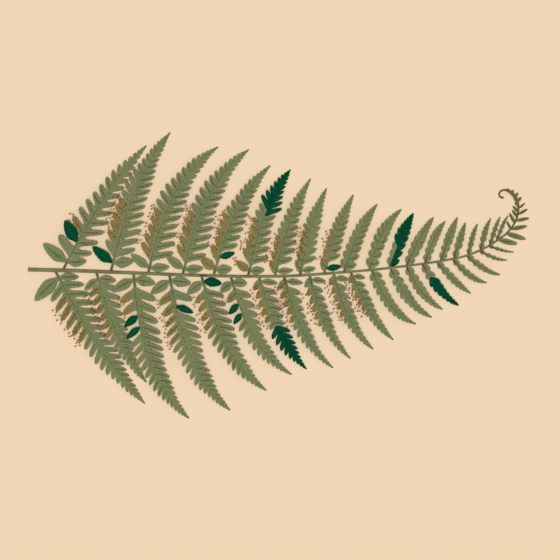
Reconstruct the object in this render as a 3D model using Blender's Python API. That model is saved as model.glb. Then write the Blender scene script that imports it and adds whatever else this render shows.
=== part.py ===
"""Dried fern frond, pressed and lying face up, in metres with +Z up.

The frond is one leaf: a rachis with a curled tip, and a row of pinnae on each side of it, each a
thin arched blade whose outline is cut into pinnules. +X runs from the cut end to the curled tip,
+Y is the frond's left side, and z = 0 is the surface that it lies on. Most of it is one olive body.
Some pinnules and the outer part of some pinnae have dried dark green, and are bodies of their own.
"""

import math
from dataclasses import dataclass

import bmesh
import bpy
import numpy as np
from mathutils import Vector

MM = 0.001

# Rachis, in mm: its middle line from the cut end to where the curl begins, as seen from above
RACHIS_ROUTE = (
    (0, 4.8), (45, 3.6), (90, 1.8), (130, 0.4), (165, -0.3), (196, 0), (226, 2),
    (256, 4.4), (286, 7.8), (309, 11.1), (328, 15), (343, 21.2), (354, 28.1),
)
CURL_FIRST_HEADING = 34
CURL_LAST_HEADING = 400
CURL_RADIUS_AT_90 = 19.5
CURL_TIGHTENING = 0.33
CURL_INNER_RADIUS = 2.5
RACHIS_CUT_RADIUS = 1.5
RACHIS_TIP_RADIUS = 0.55
RACHIS_TAPER = 0.75
RACHIS_FLAT = 0.8
RACHIS_STEP = 14
CURL_STEP_DEG = 20
WELD_DISTANCE = 0.01

# Pinnae, in mm and degrees: root along the rachis, tip x, tip y, bend of the costa, rise of the blade
LEFT_PINNAE = (
    (26, 89, 98, 17, 2.6), (62, 107, 108, 26, 3.6), (90, 143, 97, 46, 3.0), (116, 166, 95, 42, 3.8),
    (139, 182, 83, 32, 3.1), (165, 197, 80, 27, 3.7), (185, 212, 73, 19, 2.9), (204, 224, 66, 15, 3.4),
    (222, 244, 61, 12, 2.7), (237, 262, 54, 21, 3.1), (256, 280, 50, 34, 2.5), (271, 289, 47, 11, 2.8),
    (284, 304, 44, 10, 2.2), (298, 313, 41, 26, 2.5), (310, 322, 44, 5, 1.9), (320, 328, 40, 2, 2.1),
    (331, 337, 39, 14, 1.6), (341, 347, 43, 18, 1.8), (349, 354, 44, 12, 1.4), (355, 360, 45, 16, 1.5),
)
RIGHT_PINNAE = (
    (20, 88, -96, -16, 1.4), (51, 89, -80, -24, 2.8), (79, 121, -107, -44, 3.8), (106, 152, -101, -42, 3.4),
    (130, 179, -86, -42, 3.0), (152, 198, -74, -46, 3.7), (173, 209, -70, -30, 3.0), (192, 229, -69, -40, 3.6),
    (211, 242, -62, -34, 2.8), (229, 259, -55, -36, 3.3), (242, 274, -48, -26, 2.6), (258, 291, -36, -50, 3.0),
    (272, 303, -31, -42, 2.4), (284, 311, -25, -38, 2.7), (296, 323, -22, -30, 2.0), (307, 332, -13, -18, 2.3),
    (319, 344, -5, -40, 1.7), (330, 354, 1, -33, 2.0), (340, 359, 12, -32, 1.5), (348, 364, 18, -20, 1.7),
)

# Undivided leaflets of the curled tip, in mm: root along the rachis, tip x, tip y, full width
LEFT_LEAFLETS = (
    (363, 359, 41, 2.6), (369, 361, 47, 2.4), (375, 363, 49, 2.3), (380, 363.5, 52.5, 2.0),
    (384, 364.5, 55, 1.7), (388, 364, 58, 1.5),
)
RIGHT_LEAFLETS = (
    (356, 367, 24, 4.4), (364, 373.5, 27.5, 4.2), (370, 375, 37.5, 3.4), (376, 376, 43.5, 2.9),
    (381, 374.5, 50, 2.5), (386, 372.5, 54.5, 2.2), (391, 370, 60, 2.4), (395, 367.5, 63, 2.6),
    (400, 363.5, 65.4, 2.4), (404, 358.8, 66.2, 2.2),
)

# Pinnules: pairs on a pinna, where they sit, how long they are and how they lean
COSTA_STEPS = 60
BEND_POWER = 1.9
PAIRS_BASE = 0.5
PAIRS_SCALE = 0.515
PAIRS_POWER = 0.72
STALK_LENGTH = 1.6
STALK_WIDTH = 1.9
TIP_LOBE_SHARE = 0.03
CROWDING = 1.35
LENGTH_SHARE = 0.137
LONG_FALL, SHORT_FALL = 1.7, 3.0
LONG_ROUNDING, SHORT_ROUNDING = 0.9, 0.8
SHORT_PINNA, SLENDER_PINNA = 30, 75
SINUS_LONG = 0.1
SINUS_GAIN = 2.2
SINUS_FADE = 28
SINUS_TIP = 0.82
SINUS_RISE = 3
SHORT_LEAN = 14
SHORT_EXTRA = 0.15
SHORT_BASE = 0.5
SHORT_BASE_REACH = 0.3
SHORT_BASE_CURVE = 1.5
FIRST_PAIR_EXTRA = 0.22
FIRST_PAIR_LEAN = 12
FIRST_PAIR_REACH = 14
UNEVENNESS = 0.06
UNEVEN_TURN = 7.3
UNEVEN_SHIFT = 2.1
CUT_SIDE_LEAN = (72, 54)
TIP_SIDE_LEAN = (65, 52)
TIP_SIDE_EXTRA = 1.08
HALF_WIDTH_SHARE = 0.42
FORWARD_CURVE = 0.08
RIB_HALF_WIDTH = 0.95
LONG_PINNA = 60
LONG_PINNULE = 9.5
SHORT_PINNULE = 5.5

# Outlines of one pinnule, as shares of its length and of its half width
FREE_OUTLINE = ((0.14, -0.3), (0.42, -0.85), (0.9, -0.55), (0.95, 0.45), (0.46, 0.9), (0.14, 0.3))
LONG_OUTLINE = ((0.7, -1.0), (1.0, 0.05), (0.72, 1.0))
MIDDLE_OUTLINE = ((0.66, -0.95), (1.0, 0.35))
SHORT_OUTLINE = ((1.0, 0.25),)

# Lie of the blades
BLADE_THICKNESS = 0.65
ARCH_SKEW = 0.8
SHINGLE_SLOPE = 0.08
SHINGLE_START = 12
DROOP = 0.003

# Dark green pieces: name, side, pinna from the cut end, pinnule side, pinnule from the rachis
DARK_GAP = 0.4
DARK_BASE_WIDTH = 0.55
DARK_FIRST_SPOT = 1.5
DARK_PINNULES = (
    ("dark_pinnule_1", "left", 1, "cut", 3),
    ("dark_pinnule_2", "left", 2, "cut", 1),
    ("dark_pinnule_3", "left", 5, "tip", 2),
    ("dark_pinnule_4", "left", 9, "tip", 1),
    ("dark_pinnule_5", "right", 5, "tip", 1),
    ("dark_pinnule_6", "right", 3, "cut", 4),
    ("dark_pinnule_7", "right", 3, "cut", 5),
    ("dark_pinnule_8", "right", 4, "tip", 3),
    ("dark_pinnule_9", "right", 6, "cut", 3),
    ("dark_pinnule_10", "right", 6, "cut", 4),
)

# Dark outer parts: name, side, pinna, first dark pinnule on its cut side and on its tip side
DARK_TIPS = (
    ("dark_pinna_tip_1", "left", 6, 8, 7),
    ("dark_pinna_tip_2", "left", 12, 4, 1),
    ("dark_pinna_tip_3", "right", 7, 7, 7),
    ("dark_pinna_tip_4", "right", 15, 3, 3),
)

OLIVE = (0.195, 0.216, 0.093, 1.0)
DARK_GREEN = (0.001, 0.058, 0.030, 1.0)
LEAF_ROUGHNESS = 0.85


def heading_step(point, heading, length):
    """Go a short way from a point along a heading in degrees."""
    angle = math.radians(heading)
    return (point[0] + length * math.cos(angle), point[1] + length * math.sin(angle))


def smooth_route(points, parts=8):
    """Read a smooth curve through points chosen by hand."""
    knots = [np.array(p, float) for p in (points[0], *points, points[-1])]
    smooth = []
    for a, b, c, d in zip(knots, knots[1:], knots[2:], knots[3:]):
        for step in range(parts):
            t = step / parts
            smooth.append(0.5 * (2 * b + (c - a) * t + (2 * a - 5 * b + 4 * c - d) * t**2
                                 + (3 * b - a - 3 * c + d) * t**3))
    return [tuple(p) for p in smooth] + [tuple(points[-1])]


def curl_points(start, step_deg=2.0):
    """Turn left from the start with a radius that tightens, as a fiddlehead does."""
    point = start
    points = []
    heading = CURL_FIRST_HEADING
    while heading < CURL_LAST_HEADING:
        radius = CURL_RADIUS_AT_90 * CURL_TIGHTENING ** ((heading - 90) / 90)
        arc = max(radius, CURL_INNER_RADIUS) * math.radians(step_deg)
        point = heading_step(point, heading + step_deg / 2, arc)
        heading += step_deg
        points.append(point)
    return points


STRAIGHT = smooth_route(RACHIS_ROUTE)
RACHIS = np.array(STRAIGHT + curl_points(STRAIGHT[-1]))
RACHIS_DISTANCE = np.concatenate(([0.0], np.cumsum(np.hypot(*np.diff(RACHIS, axis=0).T))))
RACHIS_LENGTH = RACHIS_DISTANCE[-1]
STRAIGHT_LENGTH = RACHIS_DISTANCE[len(STRAIGHT) - 1]


def rachis_at(distance):
    """Give the rachis's middle point at a distance from the cut end."""
    return (float(np.interp(distance, RACHIS_DISTANCE, RACHIS[:, 0])),
            float(np.interp(distance, RACHIS_DISTANCE, RACHIS[:, 1])))


def rachis_radius(distance):
    """Taper the rachis from its cut end to its tip."""
    share = distance / RACHIS_LENGTH
    return RACHIS_CUT_RADIUS + (RACHIS_TIP_RADIUS - RACHIS_CUT_RADIUS) * share**RACHIS_TAPER


@dataclass
class Pinna:
    """One side branch of the frond: a costa that bends more towards its tip, with pinnules."""

    side: str
    root: float
    tip: tuple
    bend: float
    rise: float

    def __post_init__(self):
        self.start = np.array(rachis_at(self.root))
        shares = (np.arange(COSTA_STEPS) + 0.5) / COSTA_STEPS
        turned = np.radians(self.bend * shares**BEND_POWER)
        steps = np.stack((np.cos(turned), -np.sin(turned)), axis=1) / COSTA_STEPS
        path = np.concatenate((np.zeros((1, 2)), np.cumsum(steps, axis=0)))
        chord = np.array(self.tip) - self.start
        self.length = np.hypot(*chord) / np.hypot(*path[-1])
        first = math.atan2(chord[1], chord[0]) - math.atan2(path[-1][1], path[-1][0])
        turn = np.array(((math.cos(first), math.sin(first)), (-math.sin(first), math.cos(first))))
        self.path = self.start + self.length * path @ turn
        self.first_heading = math.degrees(first)
        self.pairs = round(PAIRS_BASE + PAIRS_SCALE * self.length**PAIRS_POWER)
        usable = self.length * (1 - TIP_LOBE_SHARE) - STALK_LENGTH
        shares = [1 - (1 - i / self.pairs) ** CROWDING for i in range(self.pairs + 1)]
        self.bounds = [STALK_LENGTH + usable * share for share in shares]
        self.root_height = RACHIS_FLAT * rachis_radius(self.root) - BLADE_THICKNESS / 2
        self.shortness = min(max((SLENDER_PINNA - self.length) / (SLENDER_PINNA - SHORT_PINNA), 0), 1)
        self.full_length = LENGTH_SHARE * self.length * (1 + SHORT_EXTRA * self.shortness)

    def heading(self, distance):
        return self.first_heading - self.bend * max(distance / self.length, 0) ** BEND_POWER

    def costa(self, distance):
        """Give the point of the costa at a distance from the rachis."""
        places = np.linspace(0, self.length, COSTA_STEPS + 1)
        return tuple(float(np.interp(distance, places, self.path[:, axis])) for axis in (0, 1))

    def turn(self, edge):
        """Say which way the pinnules of one edge lean: 1 is to the left of the costa."""
        return 1 if (edge == "cut") == (self.side == "left") else -1

    def lean(self, edge, distance):
        low, high = CUT_SIDE_LEAN if edge == "cut" else TIP_SIDE_LEAN
        near = max(0, 1 - distance / FIRST_PAIR_REACH) if edge == "tip" else 0
        lean = low + (high - low) * distance / self.length + FIRST_PAIR_LEAN * near
        return lean - SHORT_LEAN * self.shortness

    def pinnule_length(self, number):
        """Shorten the pinnules from the rachis to the tip, a little unevenly."""
        share = (self.bounds[number] + self.bounds[number + 1]) / 2 / self.length
        uneven = 1 + UNEVENNESS * math.sin(UNEVEN_TURN * number + UNEVEN_SHIFT * self.root)
        if number == 0 and self.length > LONG_PINNA:
            uneven = 1 + FIRST_PAIR_EXTRA * (self.length - LONG_PINNA) / LONG_PINNA
        fall = LONG_FALL + (SHORT_FALL - LONG_FALL) * self.shortness
        rounding = LONG_ROUNDING + (SHORT_ROUNDING - LONG_ROUNDING) * self.shortness
        base = 1 - min(share / SHORT_BASE_REACH, 1)
        narrowing = SHORT_BASE * self.shortness * base**SHORT_BASE_CURVE
        return self.full_length * (1 - share**fall) ** rounding * (1 - narrowing) * uneven

    def sinus_depth(self, number):
        """Give the distance from the costa to the notch between two pinnules."""
        if number <= 1 and self.length > LONG_PINNA:
            return RIB_HALF_WIDTH
        share = self.bounds[number] / self.length
        deepest = min(SINUS_LONG + SINUS_GAIN * math.exp(-self.length / SINUS_FADE), SINUS_TIP)
        depth = deepest + (SINUS_TIP - deepest) * share**SINUS_RISE
        reach = self.pinnule_length(min(max(number - 1, 0), self.pairs - 1))
        return max(RIB_HALF_WIDTH, depth * reach)

    def height(self, distance, across, edge):
        """Give the blade's underside: arched along the costa, laid over its neighbour like a shingle."""
        share = min(distance / self.length, 1)
        ridge = self.root_height * (1 - share) + self.rise * math.sin(math.pi * share**ARCH_SKEW)
        slope = SHINGLE_SLOPE * min(distance / SHINGLE_START, 1) * (1 if edge == "cut" else -1)
        return max(0.0, ridge + slope * across - DROOP * across**2)


def make_pinnae():
    pinnae = {}
    for side, rows in (("left", LEFT_PINNAE), ("right", RIGHT_PINNAE)):
        for number, (root, x, y, bend, rise) in enumerate(rows, 1):
            pinnae[side, number] = Pinna(side, root, (x, y), bend, rise)
    return pinnae


class Blade:
    """Collects the cells of one blade as flat shapes, then gives them their height and thickness."""

    def __init__(self, pinna):
        self.pinna = pinna
        self.bm = bmesh.new()
        self.verts = {}

    def vert(self, key, point, distance, across, edge):
        """Make a point of the underside once, at the height that the blade has there."""
        if key not in self.verts:
            height = self.pinna.height(distance, across, edge)
            self.verts[key] = self.bm.verts.new((point[0] * MM, point[1] * MM, height * MM))
        return self.verts[key]

    def notch(self, number, edge, reach, along=0.0):
        """Go out from the costa, along the lean of the pinnules, to the notch between two of them."""
        pinna = self.pinna
        distance = pinna.bounds[number]
        lean = pinna.lean(edge, distance)
        heading = pinna.heading(distance) + pinna.turn(edge) * lean
        point = heading_step(pinna.costa(distance + along), heading, reach)
        further = along + reach * math.cos(math.radians(lean))
        across = reach * math.sin(math.radians(lean))
        return self.vert(("notch", edge, number), point, distance + further, across, edge)

    def costa_edge(self, number, edge, aside, along=0.0):
        """Make a point on the costa, or a little aside of it, where only one side goes on."""
        pinna = self.pinna
        distance = pinna.bounds[number] + along
        heading = pinna.heading(distance) + 90 * pinna.turn(edge)
        point = heading_step(pinna.costa(distance), heading, aside)
        return self.vert(("costa", number), point, distance, aside, edge)

    def outline(self, number, edge, shape, trim=0.0):
        """Make the outline of one pinnule, from the side of the rachis round to the other side."""
        pinna = self.pinna
        low, high = pinna.bounds[number], pinna.bounds[number + 1]
        middle = (low + high) / 2
        lean = math.radians(pinna.lean(edge, middle))
        length = pinna.pinnule_length(number) * (TIP_SIDE_EXTRA if edge == "tip" else 1)
        half = HALF_WIDTH_SHARE * (high - low) * math.sin(lean) - trim
        heading = pinna.heading(middle) + pinna.turn(edge) * math.degrees(lean)
        verts = []
        for index, (out, aside) in enumerate(shape):
            sideways = aside * half + FORWARD_CURVE * length * out**2
            point = heading_step(pinna.costa(middle), heading, out * length)
            point = heading_step(point, heading - 90 * pinna.turn(edge), sideways)
            distance = middle + out * length * math.cos(lean) + sideways * math.sin(lean)
            across = out * length * math.sin(lean) - sideways * math.cos(lean)
            verts.append(self.vert(("outline", edge, number, index), point, distance, across, edge))
        return verts


def thicken(bm, name, material, collection):
    """Give a sheet one thickness straight up, the same triangles on both faces."""
    bmesh.ops.triangulate(bm, faces=bm.faces[:])
    lifted = bmesh.ops.extrude_face_region(bm, geom=bm.faces[:], use_keep_orig=True)
    top = [item for item in lifted["geom"] if isinstance(item, bmesh.types.BMVert)]
    bmesh.ops.translate(bm, verts=top, vec=(0, 0, BLADE_THICKNESS * MM))
    bmesh.ops.recalc_face_normals(bm, faces=bm.faces[:])
    return new_object(name, bm, material, collection)


def new_object(name, bm, material, collection):
    mesh = bpy.data.meshes.new(name)
    bm.to_mesh(mesh)
    bm.free()
    mesh.materials.append(material)
    made = bpy.data.objects.new(name, mesh)
    collection.objects.link(made)
    return made


def pinnule_shape(pinna, number):
    """Choose the outline: oval and free by the rachis, then blunt, pointed, and a mere tooth."""
    length = pinna.pinnule_length(number)
    if number == 0 and pinna.length > LONG_PINNA:
        return FREE_OUTLINE
    if length > LONG_PINNULE:
        return LONG_OUTLINE
    return MIDDLE_OUTLINE if length > SHORT_PINNULE else SHORT_OUTLINE


def pinnule_chain(blade, number, edge, bare):
    """Run along one side of the costa past one pinnule, or along the bare rib if it is missing."""
    pinna = blade.pinna
    reaches = []
    for bound in (number, number + 1):
        beside_bare = (edge, bound) in bare or (edge, bound - 1) in bare
        reaches.append(RIB_HALF_WIDTH if beside_bare else pinna.sinus_depth(bound))
    chain = [blade.notch(number, edge, reaches[0])]
    if (edge, number) not in bare:
        chain += blade.outline(number, edge, pinnule_shape(pinna, number))
    return chain + [blade.notch(number + 1, edge, reaches[1])]


def stalk_ends(blade):
    """Sink the stalk to the middle of the rachis."""
    pinna = blade.pinna
    ends = {}
    for edge in ("cut", "tip"):
        heading = pinna.first_heading + 90 * pinna.turn(edge)
        point = heading_step(pinna.start, heading, STALK_WIDTH / 2)
        ends[edge] = blade.vert(("stalk", edge), point, 0, 0, edge)
    return ends


def build_pinna(key, pinna, olive, collection):
    """Make the olive part of a pinna, pair by pair from its stalk."""
    bare = {(edge, number - 1) for _, side, at, edge, number in DARK_PINNULES if (side, at) == key}
    end = {"cut": pinna.pairs, "tip": pinna.pairs}
    for _, side, at, cut_first, tip_first in DARK_TIPS:
        if (side, at) == key:
            end = {"cut": cut_first - 1, "tip": tip_first - 1}
    blade = Blade(pinna)
    chains = []
    for number in range(max(end.values())):
        pair = []
        for edge in ("cut", "tip"):
            if number < end[edge]:
                pair.append(pinnule_chain(blade, number, edge, bare))
            else:
                pair.append([blade.costa_edge(bound, edge, 0) for bound in (number, number + 1)])
        chains.append(pair)
        splits = number + 1 == min(end.values()) < max(end.values())
        middle = [blade.costa_edge(number + 1, "cut", 0)] if splits else []
        blade.bm.faces.new(pair[0] + middle + pair[1][::-1])
    stalk = stalk_ends(blade)
    blade.bm.faces.new((stalk["tip"], stalk["cut"], chains[0][0][0], chains[0][1][0]))
    if min(end.values()) == pinna.pairs:
        add_tip_lobe(blade, chains[-1])
    return thicken(blade.bm, "pinna", olive, collection)


def add_tip_lobe(blade, last_pair):
    pinna = blade.pinna
    tip = blade.vert("tip", pinna.costa(pinna.length), pinna.length, 0, "cut")
    blade.bm.faces.new((last_pair[0][-1], tip, last_pair[1][-1]))


def build_dark_pinnule(name, pinna, edge, number, dark_green, collection):
    """Make one dark pinnule, a little clear of the rib and of the pinnules beside it."""
    blade = Blade(pinna)
    low, high = pinna.bounds[number], pinna.bounds[number + 1]
    lean = math.radians(pinna.lean(edge, (low + high) / 2))
    base = []
    for side in (-DARK_BASE_WIDTH, DARK_BASE_WIDTH):
        aside = side * HALF_WIDTH_SHARE * (high - low) * math.sin(lean)
        reach = (RIB_HALF_WIDTH + DARK_GAP + aside * math.cos(lean)) / math.sin(lean)
        base.append((reach / pinna.pinnule_length(number), side))
    body = [spot for spot in pinnule_shape(pinna, number) if spot[0] > DARK_FIRST_SPOT * base[1][0]]
    blade.bm.faces.new(blade.outline(number, edge, [base[0], *body, base[1]], DARK_GAP / 2))
    return thicken(blade.bm, name, dark_green, collection)


def build_dark_tip(name, pinna, cut_first, tip_first, dark_green, collection):
    """Make the dark outer part of a pinna, with a gap where it goes on from the olive part."""
    blade = Blade(pinna)
    first = {"cut": cut_first - 1, "tip": tip_first - 1}
    early = min(first, key=first.get)
    late = "tip" if early == "cut" else "cut"
    for edge in first:
        reach = pinna.sinus_depth(first[edge])
        blade.notch(first[edge], edge, reach, DARK_GAP)
    for number in range(first[early], pinna.pairs):
        pair = {early: pinnule_chain(blade, number, early, ())}
        if number >= first[late]:
            pair[late] = pinnule_chain(blade, number, late, ())
            if number == first[late] != first[early]:
                pair[late].insert(0, blade.costa_edge(number, early, DARK_GAP, DARK_GAP))
        else:
            shifts = {first[early]: 2 * DARK_GAP, first[late]: DARK_GAP}
            ends = (number, number + 1)
            pair[late] = [blade.costa_edge(at, early, DARK_GAP, shifts.get(at, 0)) for at in ends]
        blade.bm.faces.new(pair["cut"] + pair["tip"][::-1])
    add_tip_lobe(blade, (pair["cut"], pair["tip"]))
    return thicken(blade.bm, name, dark_green, collection)


def build_leaflet(root, tip, width, olive, collection):
    """Make one undivided leaflet of the curled tip: widest past its middle, and pointed."""
    start = rachis_at(root)
    heading = math.degrees(math.atan2(tip[1] - start[1], tip[0] - start[0]))
    length = math.hypot(tip[0] - start[0], tip[1] - start[1])
    height = RACHIS_FLAT * rachis_radius(root) - BLADE_THICKNESS / 2
    bm = bmesh.new()
    ring = []
    for out, aside in ((0, -0.2), (0.35, -0.5), (0.7, -0.4), (1, 0), (0.7, 0.4), (0.35, 0.5), (0, 0.2)):
        point = heading_step(heading_step(start, heading, out * length), heading + 90, aside * width)
        ring.append(bm.verts.new((point[0] * MM, point[1] * MM, height * (1 - out) * MM)))
    bm.faces.new(ring)
    return thicken(bm, "leaflet", olive, collection)


def build_rachis(olive, collection):
    """Sweep the rachis as a tapering tube and cut it flat where it lies on the surface."""
    straight_count = round(STRAIGHT_LENGTH / RACHIS_STEP)
    places = [STRAIGHT_LENGTH * i / straight_count for i in range(straight_count)]
    curl_step = round(CURL_STEP_DEG / 2)
    places += list(RACHIS_DISTANCE[len(STRAIGHT) - 1:-1:curl_step]) + [RACHIS_LENGTH]
    curve = bpy.data.curves.new("rachis", "CURVE")
    curve.dimensions = "3D"
    curve.bevel_depth = MM
    curve.bevel_resolution = 1
    curve.use_fill_caps = True
    spline = curve.splines.new("POLY")
    spline.points.add(len(places) - 1)
    for point, place in zip(spline.points, places):
        x, y = rachis_at(place)
        radius = rachis_radius(place)
        point.co = (x * MM, y * MM, RACHIS_FLAT * radius * MM, 1)
        point.radius = radius
    tube = bpy.data.objects.new("rachis_curve", curve)
    collection.objects.link(tube)
    bpy.context.view_layer.update()
    mesh = bpy.data.meshes.new_from_object(tube.evaluated_get(bpy.context.evaluated_depsgraph_get()))
    bpy.data.objects.remove(tube)
    bm = bmesh.new()
    bm.from_mesh(mesh)
    bpy.data.meshes.remove(mesh)
    bmesh.ops.remove_doubles(bm, verts=bm.verts[:], dist=WELD_DISTANCE * MM)
    everything = bm.verts[:] + bm.edges[:] + bm.faces[:]
    bmesh.ops.bisect_plane(bm, geom=everything, plane_co=(0, 0, 0), plane_no=(0, 0, -1), clear_outer=True)
    rim = [edge for edge in bm.edges if len(edge.link_faces) == 1]
    bmesh.ops.holes_fill(bm, edges=rim, sides=0)
    bmesh.ops.triangulate(bm, faces=bm.faces[:])
    bmesh.ops.recalc_face_normals(bm, faces=bm.faces[:])
    return new_object("frond", bm, olive, collection)


def fuse(body, pieces):
    """Join the rachis and its pinnae into one body and remove the separate pieces."""
    join = body.modifiers.new("fuse", "BOOLEAN")
    join.operation = "UNION"
    join.operand_type = "COLLECTION"
    join.collection = pieces
    join.solver = "MANIFOLD"
    bpy.context.view_layer.update()
    fused = bpy.data.meshes.new_from_object(body.evaluated_get(bpy.context.evaluated_depsgraph_get()))
    body.modifiers.clear()
    body.data = fused
    for piece in list(pieces.objects):
        bpy.data.objects.remove(piece)
    bpy.data.collections.remove(pieces)


def centre_on_surface(objects):
    """Put the origin under the middle of the frond's box."""
    corners = np.array([v.co for made in objects for v in made.data.vertices])
    low, high = corners.min(axis=0), corners.max(axis=0)
    shift = Vector((-(low[0] + high[0]) / 2, -(low[1] + high[1]) / 2, 0))
    for made in objects:
        for vertex in made.data.vertices:
            vertex.co += shift


def make_material(name, colour):
    material = bpy.data.materials.new(name)
    material.use_nodes = True
    shader = material.node_tree.nodes["Principled BSDF"]
    shader.inputs["Base Color"].default_value = colour
    shader.inputs["Roughness"].default_value = LEAF_ROUGHNESS
    shader.inputs["Metallic"].default_value = 0.0
    return material


def build():
    for old in list(bpy.data.objects):
        bpy.data.objects.remove(old)
    frond = bpy.data.collections.new("dried_fern_frond")
    pieces = bpy.data.collections.new("pinnae")
    bpy.context.scene.collection.children.link(frond)
    bpy.context.scene.collection.children.link(pieces)
    olive = make_material("dried_olive_leaf", OLIVE)
    dark_green = make_material("dried_dark_green_leaf", DARK_GREEN)

    pinnae = make_pinnae()
    body = build_rachis(olive, frond)
    for key, pinna in pinnae.items():
        build_pinna(key, pinna, olive, pieces)
    for root, x, y, width in LEFT_LEAFLETS + RIGHT_LEAFLETS:
        build_leaflet(root, (x, y), width, olive, pieces)
    fuse(body, pieces)
    for name, side, at, edge, number in DARK_PINNULES:
        build_dark_pinnule(name, pinnae[side, at], edge, number - 1, dark_green, frond)
    for name, side, at, cut_first, tip_first in DARK_TIPS:
        build_dark_tip(name, pinnae[side, at], cut_first, tip_first, dark_green, frond)
    centre_on_surface(list(frond.objects))


build()
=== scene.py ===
"""Dried fern frond, pressed and lying face up: the finished leaf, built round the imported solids."""

import math
import random

import bmesh
import bpy
import numpy as np
from mathutils import Matrix, Vector


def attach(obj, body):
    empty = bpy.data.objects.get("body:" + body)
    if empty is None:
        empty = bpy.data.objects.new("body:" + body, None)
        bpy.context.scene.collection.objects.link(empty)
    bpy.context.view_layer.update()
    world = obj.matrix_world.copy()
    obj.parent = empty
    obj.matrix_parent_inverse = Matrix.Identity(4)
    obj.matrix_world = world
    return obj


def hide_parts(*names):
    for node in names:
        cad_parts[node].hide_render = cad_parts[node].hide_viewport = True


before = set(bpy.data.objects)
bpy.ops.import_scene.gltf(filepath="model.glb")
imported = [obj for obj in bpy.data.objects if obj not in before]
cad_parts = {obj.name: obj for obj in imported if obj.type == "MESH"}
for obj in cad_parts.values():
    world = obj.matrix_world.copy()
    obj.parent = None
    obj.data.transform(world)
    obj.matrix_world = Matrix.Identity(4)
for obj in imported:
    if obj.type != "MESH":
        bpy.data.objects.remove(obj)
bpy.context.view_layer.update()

# Rachis: the leaf's main stem, cut square at one end and curled like a fiddlehead at the other. It
# grew as one tapering rod with a groove along its upper side, is a little thicker where each pinna
# leaves it, and dried flat on the surface. Places are in mm from its cut end, as on the solids.
MM = 0.001
FROND_MIDDLE = (187.98, 0.5)
RACHIS_ROUTE = (
    (0, 4.8), (45, 3.6), (90, 1.8), (130, 0.4), (165, -0.3), (196, 0), (226, 2),
    (256, 4.4), (286, 7.8), (309, 11.1), (328, 15), (343, 21.2), (354, 28.1),
)
ROUTE_PARTS = 8
CURL_HEADINGS = (34, 400)
CURL_STEP = 2
CURL_RADIUS_AT_90 = 19.5
CURL_TIGHTENING = 0.33
CURL_INNER_RADIUS = 2.5
RACHIS_CUT_RADIUS = 1.5
RACHIS_TIP_RADIUS = 0.62
RACHIS_TAPER = 0.75
RACHIS_FLAT = 0.8
RACHIS_SIDES = 16
RACHIS_STEP = 3.0
RACHIS_LOOK = 0.5
CURL_LENGTH = 59.0
CURL_STATION = 1.0
RING_TOP = 0.99
SHARP_ANGLE = 50
GROOVE_DEPTH = 0.3
NODE_SWELL = 0.06
NODE_REACH = 2.0
KNOB_SWELL = 0.5
KNOB_REACH = 1.5
STEM_GREEN = "#7F8358"
STEM_BROWN = "#75734D"
STEM_SCAR = "#4A452C"
STEM_DRY = "#54461F"
DRY_PLACES = (0, 330, 350, 370, 380, 388, 393, 400, 404)
DRY_SHARES = (0, 0, 0.3, 0.45, 0.8, 0.8, 0.25, 0.25, 1.0)

# Real sizes of the strands of fibre, drawn coarse enough to show, of the brown patches and of the
# scars. The ramps are Map Range settings: sockets 1 and 2 take the values that they run between.
STREAK_MM = 0.7
STREAK_STRETCH = (0.15, 1, 1)
STREAK_RELIEF_MM = 0.2
PATCH_MM = 9.0
SCAR_MM = 3.2
BROWN_PATCHES = {1: 0.42, 2: 0.62}
SCARS = {1: 0.67, 2: 0.74}

# Roots of the pinnae along the rachis, then for each its tip, the bend of its costa in degrees and
# the rise of its blade. They are the solids' own values.
LEFT_PINNAE = (
    (26, 89, 98, 17, 2.6), (62, 107, 108, 26, 3.6), (90, 143, 97, 46, 3.0), (116, 166, 95, 42, 3.8),
    (139, 182, 83, 32, 3.1), (165, 197, 80, 27, 3.7), (185, 212, 73, 19, 2.9), (204, 224, 66, 15, 3.4),
    (222, 244, 61, 12, 2.7), (237, 262, 54, 21, 3.1), (256, 280, 50, 34, 2.5), (271, 289, 47, 11, 2.8),
    (284, 304, 44, 10, 2.2), (298, 313, 41, 26, 2.5), (310, 322, 44, 5, 1.9), (320, 328, 40, 2, 2.1),
    (331, 337, 39, 14, 1.6), (341, 347, 43, 18, 1.8), (349, 354, 44, 12, 1.4), (355, 360, 45, 16, 1.5),
)
RIGHT_PINNAE = (
    (20, 88, -96, -16, 1.4), (51, 89, -80, -24, 2.8), (79, 121, -107, -44, 3.8),
    (106, 152, -101, -42, 3.4), (130, 179, -86, -42, 3.0), (152, 198, -74, -46, 3.7),
    (173, 209, -70, -30, 3.0), (192, 229, -69, -40, 3.6), (211, 242, -62, -34, 2.8),
    (229, 259, -55, -36, 3.3), (242, 274, -48, -26, 2.6), (258, 291, -36, -50, 3.0),
    (272, 303, -31, -42, 2.4), (284, 311, -25, -38, 2.7), (296, 323, -22, -30, 2.0),
    (307, 332, -13, -18, 2.3), (319, 344, -5, -40, 1.7), (330, 354, 1, -33, 2.0),
    (340, 359, 12, -32, 1.5), (348, 364, 18, -20, 1.7),
)


def heading_step(point, heading, length):
    """Go a short way from a point along a heading in degrees."""
    angle = math.radians(heading)
    return np.array((point[0] + length * math.cos(angle), point[1] + length * math.sin(angle)))


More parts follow.
